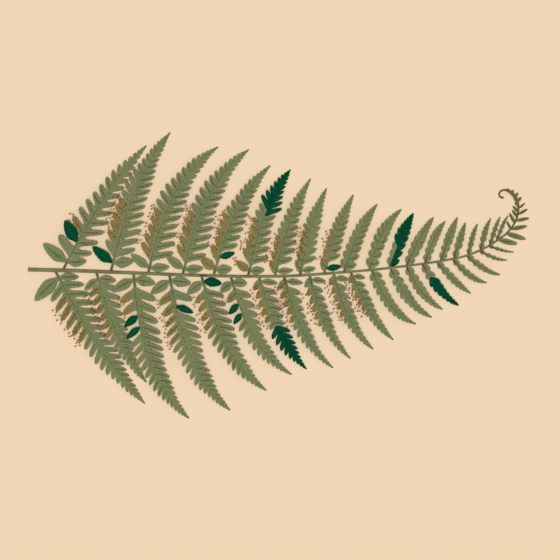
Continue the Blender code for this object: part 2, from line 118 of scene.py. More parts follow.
def rachis_line():
    """Run a smooth curve through the route's points, then turn left with a radius that tightens."""
    knots = [np.array(p, float) for p in (RACHIS_ROUTE[0], *RACHIS_ROUTE, RACHIS_ROUTE[-1])]
    line = []
    for a, b, c, d in zip(knots, knots[1:], knots[2:], knots[3:]):
        for t in np.arange(ROUTE_PARTS) / ROUTE_PARTS:
            line.append(0.5 * (2 * b + (c - a) * t + (2 * a - 5 * b + 4 * c - d) * t**2
                               + (3 * b - a - 3 * c + d) * t**3))
    line.append(knots[-1])
    for heading in range(*CURL_HEADINGS, CURL_STEP):
        radius = max(CURL_RADIUS_AT_90 * CURL_TIGHTENING ** ((heading - 90) / 90), CURL_INNER_RADIUS)
        line.append(heading_step(line[-1], heading + CURL_STEP / 2, radius * math.radians(CURL_STEP)))
    return np.array(line)


RACHIS = rachis_line()
RACHIS_DISTANCE = np.concatenate(([0.0], np.cumsum(np.hypot(*np.diff(RACHIS, axis=0).T))))
RACHIS_LENGTH = RACHIS_DISTANCE[-1]


def rachis_at(distance):
    return np.array([np.interp(distance, RACHIS_DISTANCE, RACHIS[:, axis]) for axis in (0, 1)])


def rachis_ahead(distance):
    return rachis_at(distance + RACHIS_LOOK) - rachis_at(distance - RACHIS_LOOK)


def rachis_radius(distance):
    share = distance / RACHIS_LENGTH
    return RACHIS_CUT_RADIUS + (RACHIS_TIP_RADIUS - RACHIS_CUT_RADIUS) * share**RACHIS_TAPER


def in_frame(x, y, z):
    """Turn a place on the frond in mm into metres in the part's own frame."""
    return Vector(((x - FROND_MIDDLE[0]) * MM, (y - FROND_MIDDLE[1]) * MM, z * MM))


def draw_rod(bm, sides, groove, stations):
    """Extrude a grooved ring from station to station: place, heading, half width, half height."""
    ring = bmesh.ops.create_circle(bm, segments=sides, radius=MM)["verts"]
    for vert in ring:
        dip = groove * MM if vert.co.y > RING_TOP * MM else 0
        vert.co = (0, vert.co.x, vert.co.y - dip)
    rods = []
    for place, heading, wide, high in stations:
        turn = Matrix.Rotation(math.radians(heading), 4, "Z")
        rods.append(Matrix.Translation(in_frame(*place)) @ turn @ Matrix.Diagonal((1, wide, high, 1)))
    edges = list(dict.fromkeys(edge for vert in ring for edge in vert.link_edges))
    bmesh.ops.transform(bm, matrix=rods[0], verts=ring)
    for before, after in zip(rods, rods[1:]):
        grown = bmesh.ops.extrude_edge_only(bm, edges=edges)["geom"]
        moved = [item for item in grown if isinstance(item, bmesh.types.BMVert)]
        edges = [item for item in grown if isinstance(item, bmesh.types.BMEdge)
                 and item.verts[0] in moved and item.verts[1] in moved]
        bmesh.ops.transform(bm, matrix=after @ before.inverted(), verts=moved)


def close_ends(bm):
    rim = [edge for edge in bm.edges if len(edge.link_faces) == 1]
    bmesh.ops.holes_fill(bm, edges=rim, sides=0)


def finish_piece(name, bm, material, node_names):
    """Make the object, shade it, attach it to the root body and hide the solids that it stands for."""
    bmesh.ops.recalc_face_normals(bm, faces=bm.faces[:])
    mesh = bpy.data.meshes.new(name)
    bm.to_mesh(mesh)
    bm.free()
    mesh.materials.append(material)
    mesh.shade_smooth()
    mesh.set_sharp_from_angle(angle=math.radians(SHARP_ANGLE))
    piece = bpy.data.objects.new(name, mesh)
    bpy.context.scene.collection.objects.link(piece)
    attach(piece, "root")
    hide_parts(*node_names)


def linear(hex_colour):
    """Turn an sRGB hex colour to linear values."""
    shares = [int(hex_colour[i:i + 2], 16) / 255 for i in (1, 3, 5)]
    return (*[s / 12.92 if s <= 0.04045 else ((s + 0.055) / 1.055) ** 2.4 for s in shares], 1.0)


def add_node(tree, kind, inputs=None, output=0, **settings):
    """Add a node, set it, fill its sockets with values or links, and give the output asked for."""
    node = tree.nodes.new(kind)
    for name, value in settings.items():
        setattr(node, name, value)
    for name, value in (inputs or {}).items():
        if isinstance(value, bpy.types.NodeSocket):
            tree.links.new(value, node.inputs[name])
        else:
            node.inputs[name].default_value = value
    return node.outputs[output]


def new_material(name, roughness, specular=0.5):
    """Start a material, and give it with its node tree and its shader."""
    material = bpy.data.materials.new(name)
    material.use_nodes = True
    shader = material.node_tree.nodes["Principled BSDF"]
    shader.inputs["Roughness"].default_value = roughness
    shader.inputs["Specular IOR Level"].default_value = specular
    return material, material.node_tree, shader


def stem_material():
    """Dried stem fibre: matte, green going brown, with fine streaks along it and small dark scars."""
    material, tree, shader = new_material("dried_stem_fibre", 0.7, 0.25)
    place = add_node(tree, "ShaderNodeTexCoord", output="Object")
    along = add_node(tree, "ShaderNodeMapping", {"Vector": place, "Scale": STREAK_STRETCH})
    streak = add_node(tree, "ShaderNodeTexNoise", {"Vector": along, "Scale": 1 / (STREAK_MM * MM)})
    patch = add_node(tree, "ShaderNodeTexNoise", {"Vector": place, "Scale": 1 / (PATCH_MM * MM)})
    scar = add_node(tree, "ShaderNodeTexNoise", {"Vector": along, "Scale": 1 / (SCAR_MM * MM)})
    browner = add_node(tree, "ShaderNodeMapRange", {0: patch, **BROWN_PATCHES})
    scarred = add_node(tree, "ShaderNodeMapRange", {0: scar, **SCARS})
    dry = add_node(tree, "ShaderNodeAttribute", output="Fac", attribute_name="dry")
    tone = linear(STEM_GREEN)
    for share, colour in ((browner, STEM_BROWN), (scarred, STEM_SCAR), (dry, STEM_DRY)):
        tone = add_node(tree, "ShaderNodeMix", {0: share, 6: tone, 7: linear(colour)}, 2, data_type="RGBA")
    tree.links.new(tone, shader.inputs["Base Color"])
    bump = add_node(tree, "ShaderNodeBump", {"Height": streak, "Strength": 0.35,
                                             "Distance": STREAK_RELIEF_MM * MM})
    tree.links.new(bump, shader.inputs["Normal"])
    return material


def rachis_places():
    """Place a ring every few mm, and closer in the curl."""
    straight = RACHIS_LENGTH - CURL_LENGTH
    curled = np.arange(straight, RACHIS_LENGTH, CURL_STATION)
    return [*np.arange(0, straight, RACHIS_STEP), *curled]


def rachis_stations():
    """Thicken the rings where the pinnae leave and at the tip."""
    roots = [row[0] for row in LEFT_PINNAE + RIGHT_PINNAE]
    for distance in rachis_places():
        x, y = rachis_at(distance)
        ahead = rachis_ahead(distance)
        swell = sum(NODE_SWELL * math.exp(-((distance - root) / NODE_REACH) ** 2) for root in roots)
        knob = KNOB_SWELL * math.exp(-((RACHIS_LENGTH - distance) / KNOB_REACH) ** 2)
        radius = rachis_radius(distance) * (1 + min(swell, NODE_SWELL)) + knob
        height = RACHIS_FLAT * rachis_radius(distance)
        yield (x, y, height), math.degrees(math.atan2(ahead[1], ahead[0])), radius, radius


STEM = stem_material()
bm = bmesh.new()
dry_layer = bm.verts.layers.float.new("dry")
draw_rod(bm, RACHIS_SIDES, GROOVE_DEPTH, rachis_stations())
bm.verts.ensure_lookup_table()
for ring_number, distance in enumerate(rachis_places()):
    for vert in bm.verts[ring_number * RACHIS_SIDES:(ring_number + 1) * RACHIS_SIDES]:
        vert.co.z = max(vert.co.z, 0)
        vert[dry_layer] = np.interp(distance, DRY_PLACES, DRY_SHARES)
close_ends(bm)
finish_piece("rachis", bm, STEM, ["frond"])


# Pinnae: the side branches, each a thin leaf blade cut deeply into pinnules along a fine costa. They
# grew flat and dried arched, the side towards the cut end lying over its neighbour like a shingle.
# Sizes are in mm, angles in degrees, and shares are of the pinna's or the pinnule's length.
COSTA_STEPS = 60
BEND_POWER = 1.9
SOLID_PAIRS = (0.5, 0.515)
TRUE_PAIRS = (0.5, 0.625)
PAIRS_POWER = 0.72
SPARSE_PINNAE = (("left", 1),)
SPARSE_WIDTH = 0.84
SMALL_FIRST_LONGER = 1.27
SMALL_FIRST_WIDTH = 0.83
STALK_LENGTH = 1.6
STALK_HALF_WIDTH = 0.95
TIP_LOBE_SHARE = 0.03
CROWDING = 1.35
LENGTH_SHARE = 0.128
RIGHT_SLIMMER = 0.17
RIGHT_SLIM_STRETCH = (130, 190)
LENGTH_FALL = (2.1, 3.2)
LENGTH_ROUNDING = (0.9, 0.8)
SHORT_PINNA = 30
LONG_TAPER = 75
SINUS_LONG = 0.12
SINUS_GAIN = 2.5
SINUS_FADE = 29
SINUS_TIP = 0.68
SINUS_RISE = 4
SHORT_LEAN = 24
SHORT_EXTRA = 0.34
SHORT_BASE = 0.55
SHORT_BASE_REACH = 0.4
SHORT_BASE_POWER = 1.5
CUT_SIDE_BASE = 0.12
CUT_SIDE_BASE_REACH = (0.5, 0.2)
SHORTEST_PINNA = 28
FIRST_PAIR_EXTRA = {"cut": 0.22, "tip": 0.06}
FIRST_PAIR_LEAN = 12
FIRST_PAIR_REACH = 14
UNEVENNESS = 0.06
UNEVEN_TURNS = (7.3, 2.1)
RACHIS_HEADING = -1.5
CUT_SIDE_LEAN = (72, 54)
RIPE_LEAN = {"left": 14, "right": 0}
RIPE_LEAN_REACH = (0.45, 0.25)
TIP_SIDE_LEAN = (71, 49)
TIP_SIDE_EXTRA = 1.08
HALF_WIDTH_SHARE = 0.45
FREE_HALF_WIDTH_SHARE = 0.5
FREE_MIDDLE = 0.36
FIRST_FREE_MIDDLE = 0.6
FOOT_SHARE = 0.7
DRY_STRETCH = (300, 400)
CLOSED_EXTRA = 0.04
BLUNT_LENGTHS = (4, 12)
FORWARD_CURVE = 0.08
TOOTH_CURVE = 0.08
RIB_HALF_WIDTH = 0.95
LONG_PINNA = 60
CUT_FREE_PINNA = 85
RIPE_PINNA = 58
BLADE_THICKNESS = 0.4
RISE_POWER = 0.8
SHINGLE_SLOPE = 0.08
SHINGLE_START = 12
DROOP = 0.003

# A pinnule's outline: a free one has a narrow foot and then swells, and a joined one narrows a little
# above the notches. A long one ends blunt and a short one pointed, and all have small teeth.
FOOT_WIDTH = 0.25
FOOT_REACH = 0.42
FOOT_POWER = 1.5
FREE_END = (2.5, 0.62)
WAIST_DEPTH = 0.22
WAIST_REACH = 0.25
JOINED_END = (1.3, 2.9)
JOINED_ROUNDING = (0.85, 0.33)
BASE_BLEND = 0.35
TOOTH_LENGTH = 2.7
TOOTH_DEPTH = 0.07
TOOTH_START = 0.25

# A pinnule's grid: columns from its side by the rachis to its other side, close at the midvein
COLUMNS = (-1.0, -0.66, -0.2, 0.0, 0.2, 0.66, 1.0)
JOINED_ROWS = 3
FEWEST_ROWS = 5
ROW_LENGTH = 0.95
ROW_CROWDING = 1.35
MIDVEIN_DEPTH = 0.14
MIDVEIN_START = 2
MARGIN_DROOP = 0.16
WELD_MM = 0.02
SLIVER_MM = 0.002
UV_SPAN = 20.0

# Single dark pinnules: name, side, pinna from the cut end, pinnule side, pinnule from the rachis, and
# how much longer and wider it is, and leans in degrees, than the olive pinnule would
DARK_PINNULES = (
    ("dark_pinnule_1", "left", 1, "cut", 3, 1.35, 1.75, -5),
    ("dark_pinnule_2", "left", 2, "cut", 1, 1.1, 1.0, 0),
    ("dark_pinnule_3", "left", 5, "tip", 2, 1.0, 0.85, -6),
    ("dark_pinnule_4", "left", 9, "tip", 1, 1.2, 0.95, 0),
    ("dark_pinnule_5", "right", 5, "tip", 1, 1.05, 0.95, 0),
    ("dark_pinnule_6", "right", 3, "cut", 4, 1.05, 0.95, 0),
    ("dark_pinnule_7", "right", 3, "cut", 5, 1.05, 0.85, 0),
    ("dark_pinnule_8", "right", 4, "tip", 3, 1.0, 0.85, -5),
    ("dark_pinnule_9", "right", 6, "cut", 3, 1.15, 0.9, 0),
    ("dark_pinnule_10", "right", 6, "cut", 4, 1.1, 0.85, 0),
)

# Leaflets of the first pairs that differ from the law: how much longer and wider they are, and how
# many degrees more they lean
FIRST_SIZES = {
    ("left", 1, "cut", 0): (1.3, 1.3, 14),
    ("left", 1, "cut", 1): (1.2, 1.35, 0),
    ("left", 1, "tip", 0): (0.95, 1.2, 0),
    ("right", 1, "cut", 0): (1.3, 1.45, 8),
    ("right", 1, "tip", 0): (0.92, 1.0, 8),
    ("right", 2, "tip", 0): (1.1, 1.1, 0),
}

# Dark outer parts: name, side, pinna, the solid's first dark pinnule on its cut and tip side, and how
# much longer its pinnules and how deep the slits between them are, against the law's
DARK_TIPS = (
    ("dark_pinna_tip_1", "left", 6, 8, 7, 1.35, 0.8),
    ("dark_pinna_tip_2", "left", 12, 4, 1, 1.2, 0.9),
    ("dark_pinna_tip_3", "right", 7, 7, 7, 1.38, 0.8),
    ("dark_pinna_tip_4", "right", 15, 3, 3, 1.15, 0.95),
)


def ramp(value, start, end):
    """Rise from 0 at the start to 1 at the end, which may be the lower of the two."""
    return min(max((value - start) / (end - start), 0), 1)


def between(pair, share):
    return pair[0] + (pair[1] - pair[0]) * share


def dryness(root):
    """Say how brown the blade has dried at a root along the rachis: most at the curled tip."""
    return ramp(root, *DRY_STRETCH)


class Leaflet:
    """Holds what a blade's grid needs to know: half width and length in mm, and how dry it is."""

    def __init__(self, half_width, length, dry):
        self.half_width, self.length, self.dry = half_width, length, dry


class Pinna:
    """One side branch: its costa, and where its pinnules sit, how long they are and how they lean."""

    def __init__(self, side, number, root, tip, bend, rise):
        self.side, self.number, self.root, self.bend, self.rise = side, number, root, bend, rise
        start = rachis_at(root)
        shares = (np.arange(COSTA_STEPS) + 0.5) / COSTA_STEPS
        turned = np.radians(bend * shares**BEND_POWER)
        steps = np.stack((np.cos(turned), -np.sin(turned)), axis=1) / COSTA_STEPS
        path = np.concatenate((np.zeros((1, 2)), np.cumsum(steps, axis=0)))
        chord = np.array(tip) - start
        self.length = np.hypot(*chord) / np.hypot(*path[-1])
        first = math.atan2(chord[1], chord[0]) - math.atan2(path[-1][1], path[-1][0])
        turn = np.array(((math.cos(first), math.sin(first)), (-math.sin(first), math.cos(first))))
        self.path = start + self.length * path @ turn
        self.first_heading = math.degrees(first)
        self.shortness = ramp(self.length, LONG_TAPER, SHORT_PINNA)
        self.solid_pairs, self.pairs = (
            round(base + scale * self.length**PAIRS_POWER) for base, scale in (SOLID_PAIRS, TRUE_PAIRS))
        if (side, number) in SPARSE_PINNAE:
            self.pairs = self.solid_pairs
        singles = [row[4] for row in DARK_PINNULES if row[1:3] == (side, number)]
        self.kept_pairs = max(singles, default=0)
        self.bounds = [self.bound(i) for i in range(self.pairs + 1)]
        self.root_height = RACHIS_FLAT * rachis_radius(root) - BLADE_THICKNESS / 2
        small = min(self.length / SHORTEST_PINNA, 1)
        self.slim = 1 - RIGHT_SLIMMER * ramp(root, *RIGHT_SLIM_STRETCH) if side == "right" else 1
        longest = LENGTH_SHARE * self.length * (1 + SHORT_EXTRA * self.shortness)
        self.full_length = longest * small * self.slim
        self.dark_from = {"cut": self.pairs, "tip": self.pairs}
        self.dark_longer, self.dark_slit = 1, 1
        for _, dark_side, dark_number, cut_first, tip_first, longer, slit in DARK_TIPS:
            if (dark_side, dark_number) == (side, number):
                solid_firsts = {"cut": cut_first, "tip": tip_first}
                self.dark_from = {edge: self.true_number(n - 1) for edge, n in solid_firsts.items()}
                self.dark_longer, self.dark_slit = longer, slit

    def bound(self, number):
        """Space the pinnules as on the solid up to the last dark one, and closer from there on."""
        kept = self.kept_pairs
        beyond = max(number - kept, 0) * (self.solid_pairs - kept) / (self.pairs - kept)
        solid_number = min(number, kept) + beyond
        stalk = STALK_LENGTH * min(self.length / LONG_PINNA, 1)
        usable = self.length * (1 - TIP_LOBE_SHARE) - stalk
        return stalk + usable * (1 - (1 - solid_number / self.solid_pairs) ** CROWDING)

    def true_number(self, solid_number):
        """Find which true pinnule stands where the solid's pinnule of this number does."""
        kept = self.kept_pairs
        return math.floor(kept + (solid_number - kept) * (self.pairs - kept) / (self.solid_pairs - kept))

    def heading(self, distance):
        return self.first_heading - self.bend * max(distance / self.length, 0) ** BEND_POWER

    def costa(self, distance):
        places = np.linspace(0, self.length, COSTA_STEPS + 1)
        return np.array([np.interp(distance, places, self.path[:, axis]) for axis in (0, 1)])

    def turn(self, edge):
        return 1 if (edge == "cut") == (self.side == "left") else -1

    def lean(self, edge, distance):
        low, high = CUT_SIDE_LEAN if edge == "cut" else TIP_SIDE_LEAN
        near = max(0, 1 - distance / FIRST_PAIR_REACH) if edge == "tip" else 0
        lean = low + (high - low) * distance / self.length + FIRST_PAIR_LEAN * near
        return lean - SHORT_LEAN * self.shortness

    def is_free(self, number, edge):
        return number == 0 and self.length > (LONG_PINNA if edge == "tip" else CUT_FREE_PINNA)

    def pinnule_length(self, number, edge):
        share = (self.bounds[number] + self.bounds[number + 1]) / 2 / self.length
        by_number, by_root = UNEVEN_TURNS
        uneven = 1 + UNEVENNESS * math.sin(by_number * number + by_root * self.root)
        if self.is_free(number, edge):
            uneven = 1 + FIRST_PAIR_EXTRA[edge] * (self.length - LONG_PINNA) / LONG_PINNA
            if edge == "tip" and self.length < CUT_FREE_PINNA:
                uneven *= SMALL_FIRST_LONGER / self.slim
        extra = TIP_SIDE_EXTRA if edge == "tip" and not self.is_free(number, edge) else 1
        if number >= self.dark_from[edge]:
            extra *= self.dark_longer
        if edge == "cut" and not self.is_free(number, edge) and self.number > 1:
            extra *= 1 - CUT_SIDE_BASE * ramp(share, *CUT_SIDE_BASE_REACH)
        fall = between(LENGTH_FALL, self.shortness)
        rounding = between(LENGTH_ROUNDING, self.shortness)
        nearness = 1 - min(share / SHORT_BASE_REACH, 1)
        narrowing = SHORT_BASE * self.shortness * nearness**SHORT_BASE_POWER
        return self.full_length * (1 - share**fall) ** rounding * (1 - narrowing) * uneven * extra

    def sinus_depth(self, number, edge):
        if number <= 1 and self.is_free(0, edge):
            return RIB_HALF_WIDTH
        share = self.bounds[number] / self.length
        deepest = min(SINUS_LONG + SINUS_GAIN * math.exp(-self.length / SINUS_FADE), SINUS_TIP)
        depth = deepest + (SINUS_TIP - deepest) * share**SINUS_RISE
        reach = self.pinnule_length(min(max(number - 1, 0), self.pairs - 1), edge)
        if number >= self.dark_from[edge]:
            depth *= self.dark_slit
        return max(RIB_HALF_WIDTH, depth * reach)

    def height(self, distance, across, edge):
        """Give the blade's underside: arched along the costa, laid over its neighbour like a shingle."""
        share = min(distance / self.length, 1)
        arch = self.rise * math.sin(math.pi * max(share, 0) ** RISE_POWER)
        ridge = self.root_height * (1 - share) + arch
        slope = SHINGLE_SLOPE * ramp(distance, 0, SHINGLE_START) * (1 if edge == "cut" else -1)
        return max(0.0, ridge + slope * across - DROOP * across**2)

    def costa_spot(self, distance):
        return np.array((*self.costa(distance), self.height(distance, 0, "cut")))

    def notch_spot(self, number, edge, reach):
        """Go out from the costa, along the lean of the pinnules, to the notch between two of them."""
        distance = self.bounds[number]
        lean = self.lean(edge, distance)
        heading = self.heading(distance) + self.turn(edge) * lean
        x, y = heading_step(self.costa(distance), heading, reach)
        slant = math.radians(lean)
        along, across = distance + reach * math.cos(slant), reach * math.sin(slant)
        return np.array((x, y, self.height(along, across, edge)))


class Pinnule(Leaflet):
    """One lobe of a pinna: joined to its neighbours as far as the notches, and free from there on."""

    def __init__(self, pinna, edge, number, bare_neighbours=(False, False), dark_size=None):
        self.pinna, self.edge, self.number, self.dry = pinna, edge, number, dryness(pinna.root)
        low, high = pinna.bounds[number], pinna.bounds[number + 1]
        self.low, self.high, self.middle = low, high, (low + high) / 2
        self.free = pinna.is_free(number, edge)
        usual_size = FIRST_SIZES.get((pinna.side, pinna.number, edge, number), (1, 1, 0))
        longer, wider, more_lean = dark_size or usual_size
        if self.free:
            self.middle = low + (FREE_MIDDLE if pinna.number > 2 else FIRST_FREE_MIDDLE) * (high - low)
        self.lean = pinna.lean(edge, self.middle)
        if self.free and edge == "tip":
            self.lean = min(self.lean, abs(pinna.heading(self.middle) - RACHIS_HEADING))
        can_ripen = edge == "cut" and pinna.number > 1 and pinna.length > RIPE_PINNA
        if can_ripen and not self.free and dark_size is None:
            self.lean -= RIPE_LEAN[pinna.side] * ramp(self.middle / pinna.length, *RIPE_LEAN_REACH)
        self.lean += more_lean
        self.heading = pinna.heading(self.middle) + pinna.turn(edge) * self.lean
        self.length = pinna.pinnule_length(number, edge) * longer
        self.notches = []
        for bound, is_bare in zip((number, number + 1), bare_neighbours):
            reach = RIB_HALF_WIDTH if is_bare else pinna.sinus_depth(bound, edge)
            self.notches.append(pinna.notch_spot(bound, edge, reach))
        share = FREE_HALF_WIDTH_SHARE if self.free else HALF_WIDTH_SHARE
        if self.free and edge == "tip" and pinna.length < CUT_FREE_PINNA:
            share *= SMALL_FIRST_WIDTH
        if (pinna.side, pinna.number) in SPARSE_PINNAE:
            share *= SPARSE_WIDTH
        across = self.length * math.sin(math.radians(self.lean))
        self.bluntness = ramp(across, *BLUNT_LENGTHS)
        share += CLOSED_EXTRA * (1 - self.bluntness)
        self.half_width = share * (high - low) * math.sin(math.radians(self.lean)) * wider
        self.free = self.free or dark_size is not None
        self.base = self.sinus_spot(0.0)
        outward = heading_step((0, 0), self.heading, 1)
        self.base_out = np.dot(self.base[:2] - pinna.costa(self.middle), outward)
        if self.free:
            self.base_out = FOOT_SHARE * RIB_HALF_WIDTH / math.sin(math.radians(self.lean))

    def sinus_spot(self, aside):
        return self.notches[0] + (self.notches[1] - self.notches[0]) * (aside + 1) / 2

    def joined_spot(self, aside, share):
        """Give a spot between the costa and the line from notch to notch."""
        distance = self.low + (self.high - self.low) * (aside + 1) / 2
        root = self.pinna.costa_spot(distance)
        return root + (self.sinus_spot(aside) - root) * share

    def width(self, share):
        """Narrow the free part to its rounded or pointed tip; a free leaflet has a narrow foot too."""
        if self.free:
            swell = math.sin(math.pi / 2 * min(share / FOOT_REACH, 1)) ** FOOT_POWER
            body = FOOT_WIDTH + (1 - FOOT_WIDTH) * swell
            return body * (1 - share ** FREE_END[0]) ** FREE_END[1]
        waist = 1 - WAIST_DEPTH * self.bluntness * (1 - (1 - min(share / WAIST_REACH, 1)) ** 2)
        end = 1 - share ** (JOINED_END[0] + JOINED_END[1] * self.bluntness)
        return waist * end ** (JOINED_ROUNDING[0] - JOINED_ROUNDING[1] * self.bluntness)

    def free_spot(self, aside, share):
        """Give a spot of the free part: its share of the way from the notches to the tip."""
        pinna = self.pinna
        out = self.base_out + (self.length - self.base_out) * share
        side = heading_step((0, 0), self.heading - 90 * pinna.turn(self.edge), 1)
        bend = FORWARD_CURVE + TOOTH_CURVE * (1 - self.bluntness)
        forward = bend * self.length * (out / self.length) ** 2
        centre = heading_step(pinna.costa(self.middle), self.heading, out) + side * forward
        wave = math.sin(2 * math.pi * out / TOOTH_LENGTH + self.number)
        tooth = 1 + TOOTH_DEPTH * wave * min(share / TOOTH_START, 1)
        crosswise = side * (aside * self.half_width * self.width(share) * tooth)
        if self.free:
            point = centre + crosswise
            return np.array((*point, self.lie(point, aside, 1)))
        first = pinna.costa(self.middle) + heading_step((0, 0), self.heading, self.base_out)
        first = first + side * bend * self.length * (self.base_out / self.length) ** 2
        centre = centre + (self.base[:2] - first) * (1 - share) ** 2
        blend = min(share / BASE_BLEND, 1)
        blend = blend * blend * (3 - 2 * blend)
        slanted = (self.sinus_spot(aside) - self.base)[:2] * self.width(share)
        point = centre + slanted * (1 - blend) + crosswise * blend
        return np.array((*point, self.lie(point, aside, share)))

    def lie(self, point, aside, share):
        """Give the underside's height at a spot, meeting the joined part without a step."""
        pinna = self.pinna
        along = heading_step((0, 0), pinna.heading(self.middle), 1)
        inward = heading_step((0, 0), pinna.heading(self.middle) + 90 * pinna.turn(self.edge), 1)

        def plain(spot):
            offset = spot - pinna.costa(self.middle)
            return pinna.height(self.middle + np.dot(offset, along), np.dot(offset, inward), self.edge)

        sinus = self.sinus_spot(aside)
        return plain(point) + (sinus[2] - plain(sinus[:2])) * (1 - share) ** 2

    def joined_rows(self):
        """List the rows from the costa out to the notches: each spot, its reach, aside and margin."""
        rows = []
        for step in range(JOINED_ROWS + 1):
            share = step / JOINED_ROWS
            out = max(self.base_out * share, 0)
            rows.append([(self.joined_spot(aside, share), out, aside, 0) for aside in COLUMNS])
        return rows

    def free_rows(self):
        """List the rows from the notches, or from the foot of a free leaflet, out to the tip."""
        rows = []
        count = max(FEWEST_ROWS, round((self.length - self.base_out) / ROW_LENGTH))
        for step in range(count + 1):
            share = 1 - (1 - step / count) ** ROW_CROWDING
            out = self.base_out + (self.length - self.base_out) * share
            rows.append([(self.free_spot(aside, share), out, aside, share) for aside in COLUMNS])
        return rows


def lay_grid(bm, rows, leaflet, ripeness=0.0, vein=1.0):
    """Lay a grid over rows of spots, with the midvein sunk and the margins bent down a little."""
    tall, wide = len(rows) - 1, len(rows[0]) - 1
    grid = bmesh.ops.create_grid(bm, x_segments=wide, y_segments=tall, size=1)["verts"]
    sheet = bm.loops.layers.uv["blade"]
    marks = {}
    for vert in grid:
        row = round((vert.co.y + 1) / 2 * tall)
        column = round((vert.co.x + 1) / 2 * wide)
        spot, out, aside, share = rows[row][column]
        relief = -MARGIN_DROOP * aside**2 * share
        if aside == 0:
            relief -= MIDVEIN_DEPTH * min(1, out / MIDVEIN_START) * (1 - share)
        vert.co = in_frame(spot[0], spot[1], max(spot[2] + relief, 0))
        marks[vert] = (out / UV_SPAN, 0.5 + aside * leaflet.half_width / UV_SPAN)
        reach = out / leaflet.length
        values = {"margin": abs(aside) if share > 0 else 0, "reach": reach, "dry": leaflet.dry,
                  "ripe": ripeness * min(2 * reach, 1), "veined": vein}
        for name, value in values.items():
            vert[bm.verts.layers.float[name]] = value
    for face in {face for vert in grid for face in vert.link_faces}:
        for loop in face.loops:
            loop[sheet].uv = marks[loop.vert]


def new_blade():
    bm = bmesh.new()
    bm.loops.layers.uv.new("blade")
    for name in ("margin", "reach", "ripe", "dry", "veined"):
        bm.verts.layers.float.new(name)
    return bm


def thicken(bm):
    """Weld the grids to one sheet and raise a copy of it, so that the blade has two faces and a rim."""
    bmesh.ops.remove_doubles(bm, verts=bm.verts[:], dist=WELD_MM * MM)
    bmesh.ops.dissolve_degenerate(bm, edges=bm.edges[:], dist=SLIVER_MM * MM)
    lifted = bmesh.ops.extrude_face_region(bm, geom=bm.faces[:], use_keep_orig=True)
    top = [item for item in lifted["geom"] if isinstance(item, bmesh.types.BMVert)]
    bmesh.ops.translate(bm, verts=top, vec=(0, 0, BLADE_THICKNESS * MM))


def add_blade(bm, blade):
    """Thicken a blade of its own and add it to a piece of many blades, which aren't welded to it."""
    thicken(blade)
    mesh = bpy.data.meshes.new("blade")
    blade.to_mesh(mesh)
    blade.free()
    bm.from_mesh(mesh)
    bpy.data.meshes.remove(mesh)


# Where spore cases ripen: on the side of a pinna that faces the cut end. For each pinna, how far from
# the frond's middle line the middles of its first and last ripe pinnule are, in mm.
RIPE_STRETCHES = {
    "left": ((26, 43), (23, 57), (16, 53), (12, 47), (4.5, 47), (4.5, 44), (4.5, 33), (10, 32), (6, 33)),
    "right": ((14, 48), (9, 46), (12, 40.5), (13, 48), (9, 43), (10.5, 38), (7, 37), (7, 35), (7, 31),
              (5, 31.5), (3, 29)),
}


def ripeness(pinnule):
    """Say how brown a pinnule is from the spore cases on it, from 0 to 1."""
    pinna = pinnule.pinna
    stretches = RIPE_STRETCHES[pinna.side]
    if pinnule.edge == "tip" or pinna.number > len(stretches):
        return 0.0
    low, high = stretches[pinna.number - 1]
    return 1.0 if low <= abs(pinnule.free_spot(0, 0.5)[1]) <= high else 0.0


LOBE_STEPS = 3
LOBE_ROUNDING = (1.6, 0.6)
LOBE_HALF_WIDTH = 1.0
LOBE_LENGTH = 3.0


def lobe_rows(pinna):
    """Close the blade's end with a small lobe from the last notches to the tip of the costa."""
    last = pinna.pairs
    side = [pinna.notch_spot(last, edge, pinna.sinus_depth(last, edge)) for edge in ("cut", "tip")]
    middle = pinna.costa_spot(pinna.bounds[last])
    tip = pinna.costa_spot(pinna.length)
    rows = []
    for step in range(LOBE_STEPS + 1):
        share = step / LOBE_STEPS
        narrow = (1 - share ** LOBE_ROUNDING[0]) ** LOBE_ROUNDING[1]
        centre = middle + (tip - middle) * share
        row = []
        for column in range(-JOINED_ROWS, JOINED_ROWS + 1):
            aside = column / JOINED_ROWS
            end = side[0] if aside < 0 else side[1]
            spot = centre + (end - middle) * abs(aside) * narrow
            row.append((spot, LOBE_LENGTH * share, aside, share))
        rows.append(row)
    return rows


VEIN_TURNS = (12.9, 4.1)
VEIN_SIDE_TURN = {"cut": 0, "tip": 2.0}
VEIN_LIKELY = {"cut": 0.35, "tip": 0.58}
VEIN_THRESHOLD = 0.5
VEIN_CONTRAST = 1.2
FAINTEST_VEIN = 0.15
VEINED_LENGTH = 8


def veined(pinnule):
    """Say how dark a pinnule's midvein shows: more often on the side of the tip, and never alike."""
    by_number, by_root = VEIN_TURNS
    turned = by_number * pinnule.number + by_root * pinnule.pinna.root + VEIN_SIDE_TURN[pinnule.edge]
    likely = 1.0 if pinnule.number == 0 else VEIN_LIKELY[pinnule.edge]
    shown = (math.sin(turned) + 2 * likely - VEIN_THRESHOLD) * VEIN_CONTRAST
    return min(max(shown, FAINTEST_VEIN), 1) * min(pinnule.length / VEINED_LENGTH, 1) ** 2


def bare_pinnules(pinna):
    """List the pinnules of a pinna that are dark pieces of their own."""
    return {(row[3], row[4] - 1) for row in DARK_PINNULES if row[1:3] == (pinna.side, pinna.number)}


